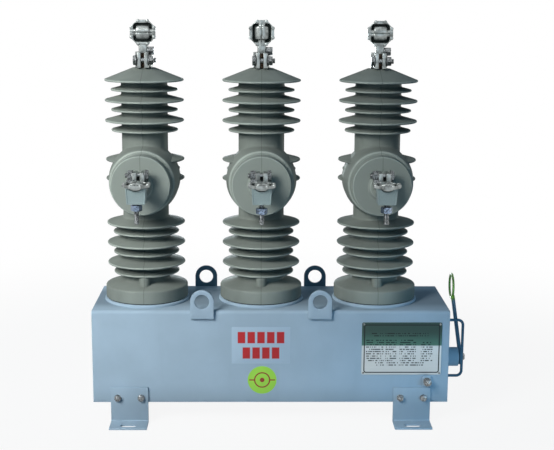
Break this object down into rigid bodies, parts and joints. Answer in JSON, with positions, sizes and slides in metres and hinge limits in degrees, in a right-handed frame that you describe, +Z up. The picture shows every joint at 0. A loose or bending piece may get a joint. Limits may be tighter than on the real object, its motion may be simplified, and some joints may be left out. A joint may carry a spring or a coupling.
{
  "type": "automatic circuit recloser",
  "caption": "Outdoor pole-type circuit recloser: ribbed epoxy poles with clamp terminals on a painted steel mechanism tank with bracket feet, lifting lugs and a hook-stick trip lever.",
  "frame": {"origin": "centre of the four foot slots, at ground level, under the tank's centre", "axes": "+X to the right along the row of poles, +Z up; the boss terminals point along -Y"},
  "size_m": [0.9798, 0.4715, 1.023],
  "materials": {
    "tank_paint": "satin",
    "epoxy": "satin",
    "terminal_metal": "cast",
    "plated_steel": "satin",
    "gasket": "matt",
    "green_coat": "gloss",
    "plate_steel": "satin"
  },
  "bodies": {
    "recloser": {"tank_body": "tank_paint", "bottom_cover": "tank_paint", "front_left_foot": "tank_paint", "front_right_foot": "tank_paint", "rear_left_foot": "tank_paint", "rear_right_foot": "tank_paint", "front_left_lug": "tank_paint", "front_right_lug": "tank_paint", "rear_left_lug": "tank_paint", "rear_right_lug": "tank_paint", "left_pole": "epoxy", "center_pole": "epoxy", "right_pole": "epoxy", "pole_gaskets": "gasket", "top_studs": "terminal_metal", "front_studs": "terminal_metal", "top_left_clamp": "terminal_metal", "top_center_clamp": "terminal_metal", "top_right_clamp": "terminal_metal", "top_left_jaw": "terminal_metal", "top_center_jaw": "terminal_metal", "top_right_jaw": "terminal_metal", "top_left_keeper": "terminal_metal", "top_center_keeper": "terminal_metal", "top_right_keeper": "terminal_metal", "front_left_clamp": "terminal_metal", "front_center_clamp": "terminal_metal", "front_right_clamp": "terminal_metal", "front_left_jaw": "terminal_metal", "front_center_jaw": "terminal_metal", "front_right_jaw": "terminal_metal", "front_left_keeper": "terminal_metal", "front_center_keeper": "terminal_metal", "front_right_keeper": "terminal_metal", "top_screws": "plated_steel", "front_screws": "plated_steel", "pivot_boss": "tank_paint", "lever_guard": "tank_paint", "rating_plate": "plate_steel", "earth_terminal": "plated_steel"},
    "lever": {"trip_lever": "tank_paint", "lever_ring": "green_coat", "lever_bolt": "plated_steel", "lever_shaft": "plated_steel"}
  },
  "joints": [
    {"name": "trip_lever_hinge", "type": "hinge", "parent": "recloser", "child": "lever", "pos_m": [0.503, -0.04, 0.147], "axis": [-1, 0, 0], "range_deg": [0, 65]}
  ]
}
